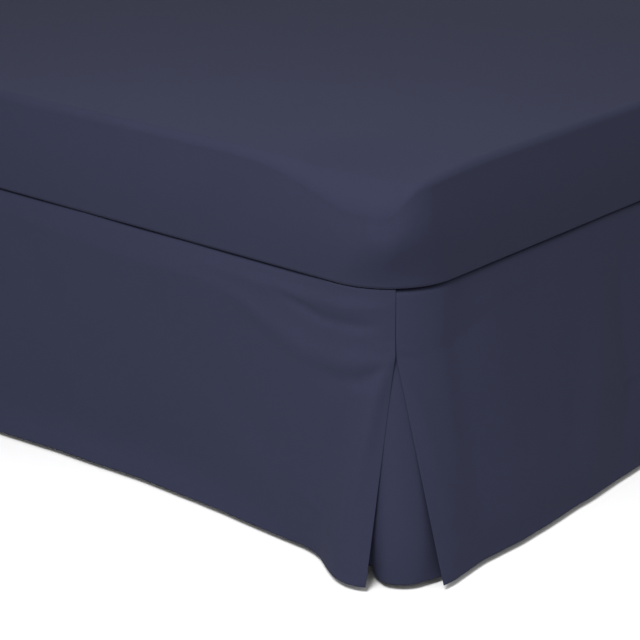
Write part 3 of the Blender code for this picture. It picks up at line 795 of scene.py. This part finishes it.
def edge_radii(outline, normals):
    """Radius of the mattress's upper edge round the bed: least at the ends, most on a side by a corner."""
    faces_end = np.abs(normals[:, 1])
    past_corner = np.maximum(HALF_LENGTH - CORNER_RADIUS - np.abs(outline[:, 1]), 0.0)
    softness = np.exp(-((past_corner / SOFT_CORNER_REACH) ** 2))
    softness *= 1.0 - smooth_step(faces_end, *SOFT_CORNER_ENDS)
    radius = EDGE_RADIUS_SIDE + (EDGE_RADIUS_END - EDGE_RADIUS_SIDE) * faces_end**2
    return radius + (EDGE_RADIUS_CORNER - radius) * softness


def corner_sink(plan):
    """How far the top sinks at plan points: a bell on the side by each corner, deepest at the foot's left."""
    from_side = (HALF_WIDTH - np.abs(plan[..., 0])) / SINK_REACH[0]
    from_place = (HALF_LENGTH - SINK_PLACE - np.abs(plan[..., 1])) / SINK_REACH[1]
    foot_left = (plan[..., 0] < 0) & (plan[..., 1] < 0)
    sinks = np.where(foot_left, CORNER_SINKS, PLAIN_CORNER_SINKS)
    return sinks * np.exp(-(from_side**2) - from_place**2)


def crown(plan):
    """How far the top swells: 1 less a power of the larger share of the way out to a side or to an end."""
    across = np.abs(plan[..., 0]) / (HALF_WIDTH + WALL_TOP_OUT - EDGE_RADIUS_SIDE)
    along = np.abs(plan[..., 1]) / (HALF_LENGTH + WALL_TOP_OUT - EDGE_RADIUS_END)
    larger = (across + along + np.sqrt((across - along) ** 2 + CROWN_BLEND**2)) / 2
    return MATTRESS_CROWN * (1.0 - larger**CROWN_POWER)


def cover_surface():
    """The mattress cover: a profile carried round the bed's outline, which then shrinks over the top.

    The profile is the lip's quarter circle, a wall that bulges as half a sine wave, and a quarter circle over
    the edge, whose radius changes round the bed. The outline's corners are rounder at the lip than above.
    The top swells by its crown, as the wall does towards its edge, and sinks as a bell near each corner.
    """
    round_bed = bed_outline()
    normals = round_bed[0]
    edge_radius = edge_radii(outline_points(CORNER_RADIUS, *round_bed), normals)
    ones = np.ones(len(normals))
    lip = np.linspace(-QUARTER_TURN, 0.0, LIP_STEPS)[:, None]
    lip_top, lip_out = LIP_BOTTOM + LIP_RADIUS, LIP_CENTRE_OUT + LIP_RADIUS
    share = np.linspace(0.0, 1.0, WALL_STEPS)[1:-1, None]
    bulge = (WALL_BULGE_OUT - (lip_out + WALL_TOP_OUT) / 2) * np.sin(math.pi * share)
    edge_foot = MATTRESS_RISE - edge_radius
    turn = np.linspace(0.0, QUARTER_TURN, EDGE_STEPS)[:, None]
    out = np.concatenate([
        [(LIP_CENTRE_OUT - LIP_REACH) * ones],
        LIP_CENTRE_OUT + LIP_RADIUS * np.cos(lip) * ones,
        lip_out + (WALL_TOP_OUT - lip_out) * share + bulge * ones,
        WALL_TOP_OUT - edge_radius + edge_radius * np.cos(turn),
    ])
    rise = np.concatenate([
        [LIP_BOTTOM * ones],
        lip_top + LIP_RADIUS * np.sin(lip) * ones,
        lip_top + (edge_foot - lip_top) * share,
        edge_foot + edge_radius * np.sin(turn),
    ])
    lift = smooth_step(rise.mean(axis=1), 0.0, TOP_CORNER_HEIGHT)
    corner_radii = CORNER_RADIUS + (TOP_CORNER_RADIUS - CORNER_RADIUS) * lift
    outlines = np.array([outline_points(radius, *round_bed) for radius in corner_radii])
    walls = outlines + normals * out[..., None]

    scale = (1.0 - np.linspace(0.0, 1.0, TOP_STEPS)[1:-1] ** TOP_STEP_POWER)[:, None]
    top = walls[-1] * scale[..., None]
    plan = np.concatenate([walls, top])
    rise += crown(walls[-1]) * smooth_step(rise, CROWN_STARTS, MATTRESS_RISE)
    rise = np.concatenate([rise, MATTRESS_RISE + crown(top)])
    rise -= corner_sink(plan) * smooth_step(rise, SINK_STARTS, MATTRESS_RISE)
    rings = np.concatenate([plan, (CREASE_HEIGHT + rise)[..., None]], axis=2)
    pole = np.array([[0.0, 0.0, CREASE_HEIGHT + MATTRESS_RISE + crown(np.zeros(2))]])

    run = np.cumsum(np.linalg.norm(np.diff(rings[: len(walls)], axis=0), axis=2), axis=0)
    reach = run[-1] - np.concatenate([0 * run[:1], run])
    weave = plan.copy()
    weave[: len(walls)] = walls[-1] + normals * reach[..., None]
    points = np.concatenate([rings.reshape(-1, 3), pole])
    weave = np.concatenate([weave.reshape(-1, 2), np.zeros((1, 2))])
    return points, weave, ring_faces(*rings.shape[:2])


def ring_faces(rings, count):
    """Quads between rings of points, and a fan of triangles from the last ring to the point after it."""
    first = np.arange(rings - 1)[:, None] * count
    low = first + np.arange(count)
    after = first + (np.arange(count) + 1) % count
    quads = np.stack([low, after, after + count, low + count], axis=-1).reshape(-1, 4).tolist()
    last = (rings - 1) * count + np.arange(count)
    fan = np.stack([last, np.roll(last, -1), np.full(count, rings * count)], axis=-1).tolist()
    return quads + fan


class Nodes:
    """A material's node tree, filled step by step."""

    def __init__(self, name):
        self.material = bpy.data.materials.new(name)
        self.material.use_nodes = True
        self.tree = self.material.node_tree
        self.shader = self.tree.nodes["Principled BSDF"]

    def add(self, kind, settings=None, **inputs):
        """A node with its settings and inputs, each input by name or as i and its number."""
        node = self.tree.nodes.new(kind)
        for key, value in (settings or {}).items():
            setattr(node, key, value)
        for key, value in inputs.items():
            numbered = key[0] == "i" and key[1:].isdigit()
            self.join(node.inputs[int(key[1:]) if numbered else key], value)
        return node

    def join(self, socket, value):
        """Link a socket to an input, or set its value."""
        if isinstance(value, bpy.types.NodeSocket):
            self.tree.links.new(value, socket)
        else:
            socket.default_value = value

    def maths(self, operation, first, second=0.0, third=0.0):
        """The result of a Math node."""
        node = self.add("ShaderNodeMath", {"operation": operation}, i0=first, i1=second, i2=third)
        return node.outputs[0]

    def noise(self, vector, scale, detail, roughness):
        """The result of a Noise Texture node."""
        node = self.add(
            "ShaderNodeTexNoise", Vector=vector, Scale=scale, Detail=detail, Roughness=roughness
        )
        return node.outputs["Fac"]

    def tint(self, colour, shade):
        """Give the shader a colour that a shade lightens or darkens."""
        tint = self.add("ShaderNodeVectorMath", {"operation": "SCALE"}, i0=colour)
        self.join(tint.inputs["Scale"], shade)
        self.join(self.shader.inputs["Base Color"], tint.outputs[0])

    def raise_relief(self, height):
        """Give the shader a relief of a height in metres."""
        bump = self.add("ShaderNodeBump", Strength=1.0, Distance=1.0, Height=height)
        self.join(self.shader.inputs["Normal"], bump.outputs[0])

    def set_shader(self, **values):
        """Set the shader's own sockets, each named with _ for a space."""
        for name, value in values.items():
            self.shader.inputs[name.replace("_", " ")].default_value = value


def woven_cloth(name, colour, pitch):
    """Plain woven cloth: crossing threads, uneven yarn, a faint mottle and small wrinkles.

    The threads are two sine waves over the weave coordinates, multiplied. The yarn is noise drawn out along
    each of the two directions. Colour is darkened and lightened a little by the yarn and the mottle.
    """
    nodes = Nodes(name)
    weave = nodes.add("ShaderNodeUVMap", {"uv_map": "weave"}).outputs["UV"]
    split = nodes.add("ShaderNodeSeparateXYZ", i0=weave)
    turns = math.pi / pitch
    across = nodes.maths("SINE", nodes.maths("MULTIPLY", split.outputs["X"], turns))
    down = nodes.maths("SINE", nodes.maths("MULTIPLY", split.outputs["Y"], turns))
    threads = nodes.maths("MULTIPLY", across, down)

    def yarn(*scale):
        stretched = nodes.add("ShaderNodeVectorMath", {"operation": "MULTIPLY"}, i0=weave, i1=scale)
        return nodes.noise(stretched.outputs[0], 1.0, detail=2.0, roughness=0.5)

    yarns = nodes.maths("ADD", yarn(YARN_ACROSS, YARN_ALONG, 1.0), yarn(YARN_ALONG, YARN_ACROSS, 1.0))
    mottle = nodes.noise(weave, MOTTLE_SCALE, detail=3.0, roughness=0.55)
    creases = nodes.noise(weave, WRINKLE_SCALE, detail=2.0, roughness=0.45)

    shade = nodes.maths("MULTIPLY_ADD", yarns, YARN_TINT, 1.0 - YARN_TINT)
    shade = nodes.maths("SUBTRACT", shade, MOTTLE_TINT / 2)
    nodes.tint(colour, nodes.maths("MULTIPLY_ADD", mottle, MOTTLE_TINT, shade))

    relief = nodes.maths("MULTIPLY", yarns, pitch * YARN_HEIGHT_SHARE)
    relief = nodes.maths("MULTIPLY_ADD", threads, pitch * THREAD_HEIGHT_SHARE, relief)
    nodes.raise_relief(nodes.maths("MULTIPLY_ADD", creases, WRINKLE_HEIGHT, relief))
    nodes.set_shader(
        Roughness=0.82,
        Specular_IOR_Level=0.05,
        Sheen_Weight=0.01,
        Sheen_Roughness=0.5,
        Sheen_Tint=(0.55, 0.58, 0.80, 1.0),
    )
    return nodes.material


def solid_finish(name, colour, roughness, grain_scale, grain_height, colour_change):
    """A finish for the floor and what the cloth hides: a fine grain that tints the colour a little."""
    nodes = Nodes(name)
    place = nodes.add("ShaderNodeTexCoord").outputs["Object"]
    grain = nodes.noise(place, grain_scale, detail=4.0, roughness=0.6)
    nodes.tint(colour, nodes.maths("MULTIPLY_ADD", grain, colour_change, 1.0 - colour_change / 2))
    nodes.raise_relief(nodes.maths("MULTIPLY", grain, grain_height))
    nodes.set_shader(Roughness=roughness)
    return nodes.material


def navy_cotton(context):
    """The skirt's one cloth, made once."""
    found = bpy.data.materials.get("navy_polycotton")
    if found:
        return found
    colour = tuple(context.scene.bed_skirt_colours.cloth)
    return woven_cloth("navy_polycotton", colour, context.scene.bed_skirt_sizes.weave_pitch)


def cloth_piece(context, name, surface, faces):
    """A cloth piece of the set thickness from a surface's points and weave coordinates."""
    thickness = context.scene.bed_skirt_sizes.cloth_thickness
    return add_mesh_piece(name, *surface, faces, navy_cotton(context), thickness)


def dress(piece, node):
    """Attach a cloth piece to the root body and hide the solid that it takes the place of."""
    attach(piece, "root")
    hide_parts(node)


class BEDSKIRT_OT_mattress_cover(bpy.types.Operator):
    """Make the cover over the mattress"""

    bl_idname = "bedskirt.mattress_cover"
    bl_label = "Mattress cover"

    def execute(self, context):
        points, weave, faces = cover_surface()
        piece = cloth_piece(context, "cover_cloth", (points, weave), faces)
        dress(piece, "mattress_cover")
        return {"FINISHED"}


class BEDSKIRT_OT_skirt_panels(bpy.types.Operator):
    """Make the four hanging panels of the skirt"""

    bl_idname = "bedskirt.skirt_panels"
    bl_label = "Skirt panels"

    def execute(self, context):
        sizes = context.scene.bed_skirt_sizes
        for side in SIDES:
            points, weave = panel_surface(side, sizes)
            inside_out = np.cross(side.along_axis, side.out_axis) > 0
            faces = grid_faces(*points.shape[:2], inside_out)
            piece = cloth_piece(context, f"skirt_{side.name}_cloth", (points, weave), faces)
            dress(piece, f"skirt_{side.name}")
        return {"FINISHED"}


class BEDSKIRT_OT_pleat_inserts(bpy.types.Operator):
    """Make the inserts behind the four corner pleats"""

    bl_idname = "bedskirt.pleat_inserts"
    bl_label = "Pleat inserts"

    def execute(self, context):
        for corner in CORNERS:
            points, weave = insert_surface(corner)
            inside_out = corner.side_sign * corner.end_sign < 0
            faces = grid_faces(*points.shape[:2], inside_out)
            piece = cloth_piece(context, f"pleat_insert_{corner.name}_cloth", (points, weave), faces)
            dress(piece, f"pleat_insert_{corner.name}")
        return {"FINISHED"}


class BEDSKIRT_OT_bed(bpy.types.Operator):
    """Finish the mattress, the base and its glides"""

    bl_idname = "bedskirt.bed"
    bl_label = "Bed under the cloth"

    def execute(self, context):
        colours = context.scene.bed_skirt_colours
        finishes = {
            "mattress": solid_finish(
                "mattress_ticking", tuple(colours.ticking),
                roughness=0.8, grain_scale=900.0, grain_height=0.0002, colour_change=0.12,
            ),
            "bed_base": solid_finish(
                "base_upholstery", tuple(colours.base),
                roughness=0.85, grain_scale=500.0, grain_height=0.0004, colour_change=0.25,
            ),
            "glide": solid_finish(
                "glide_plastic", tuple(colours.glides),
                roughness=0.45, grain_scale=300.0, grain_height=0.00005, colour_change=0.10,
            ),
        }
        for name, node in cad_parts.items():
            finish = finishes.get(name.split("_")[0] if name.startswith("glide") else name)
            if finish:
                for slot in node.material_slots:
                    slot.material = finish
        return {"FINISHED"}


class BEDSKIRT_OT_studio(bpy.types.Operator):
    """Make the floor, the lights and the camera"""

    bl_idname = "bedskirt.studio"
    bl_label = "Studio"

    def execute(self, context):
        self.make_floor(context)
        self.make_lights(context)
        self.make_camera(context)
        context.scene.view_settings.view_transform = "Standard"
        return {"FINISHED"}

    def make_floor(self, context):
        """A wide flat floor at height 0."""
        points = FLOOR_REACH * np.array(((-1, -1, 0), (1, -1, 0), (1, 1, 0), (-1, 1, 0)))
        finish = solid_finish(
            "studio_floor", tuple(context.scene.bed_skirt_colours.floor),
            roughness=0.9, grain_scale=40.0, grain_height=0.0, colour_change=0.01,
        )
        floor = add_mesh_piece("studio_floor", points, points[:, :2], [[0, 1, 2, 3]], finish)

    def make_lights(self, context):
        """An even white surround, and one soft round light aimed down at the foot's left corner."""
        world = bpy.data.worlds.new("studio")
        world.use_nodes = True
        surround = world.node_tree.nodes["Background"]
        surround.inputs["Color"].default_value = (1.0, 1.0, 1.0, 1.0)
        surround.inputs["Strength"].default_value = WORLD_STRENGTH
        context.scene.world = world
        light = bpy.data.lights.new("soft_key", "AREA")
        light.shape = "DISK"
        light.size = KEY_SIZE
        light.spread = KEY_SPREAD
        light.energy = KEY_POWER
        key = bpy.data.objects.new("soft_key", light)
        key.location = KEY_PLACE
        key.rotation_euler = (Vector(KEY_AIM) - key.location).to_track_quat("-Z", "Y").to_euler()
        context.scene.collection.objects.link(key)

    def make_camera(self, context):
        """A long lens from outside the foot's left corner, a little above the bed."""
        camera = bpy.data.cameras.new("camera")
        camera.sensor_width = SENSOR_WIDTH
        camera.lens = CAMERA_LENS
        eye = bpy.data.objects.new("camera", camera)
        corner = np.array((*FOOT_LEFT, CREASE_HEIGHT))
        eye.location = corner + CAMERA_FROM_CORNER
        eye.rotation_euler = (QUARTER_TURN - CAMERA_PITCH, 0.0, CAMERA_AZIMUTH)
        context.scene.collection.objects.link(eye)
        context.scene.camera = eye


class BEDSKIRT_PT_panel(bpy.types.Panel):
    """Lists the steps that make the bed skirt"""

    bl_idname = "BEDSKIRT_PT_panel"
    bl_label = "Bed skirt"
    bl_space_type = "VIEW_3D"
    bl_region_type = "UI"
    bl_category = "Bed skirt"

    def draw(self, context):
        for group in (context.scene.bed_skirt_sizes, context.scene.bed_skirt_colours):
            for name in group.__annotations__:
                self.layout.prop(group, name)
        for step in STEPS:
            self.layout.operator(step.bl_idname)


STEPS = (
    BEDSKIRT_OT_studio,
    BEDSKIRT_OT_mattress_cover,
    BEDSKIRT_OT_skirt_panels,
    BEDSKIRT_OT_pleat_inserts,
    BEDSKIRT_OT_bed,
)
CLASSES = (BedSkirtSizes, BedSkirtColours, *STEPS, BEDSKIRT_PT_panel)


def register():
    """Register the classes and the two groups of properties."""
    for kind in CLASSES:
        bpy.utils.register_class(kind)
    bpy.types.Scene.bed_skirt_sizes = bpy.props.PointerProperty(type=BedSkirtSizes)
    bpy.types.Scene.bed_skirt_colours = bpy.props.PointerProperty(type=BedSkirtColours)


def unregister():
    """Take the groups and the classes away again."""
    del bpy.types.Scene.bed_skirt_sizes
    del bpy.types.Scene.bed_skirt_colours
    for kind in reversed(CLASSES):
        bpy.utils.unregister_class(kind)


def main():
    """Make the studio and every piece."""
    register()
    bpy.ops.bedskirt.studio()
    bpy.ops.bedskirt.mattress_cover()
    bpy.ops.bedskirt.skirt_panels()
    bpy.ops.bedskirt.pleat_inserts()
    bpy.ops.bedskirt.bed()


if __name__ == "__main__":
    main()
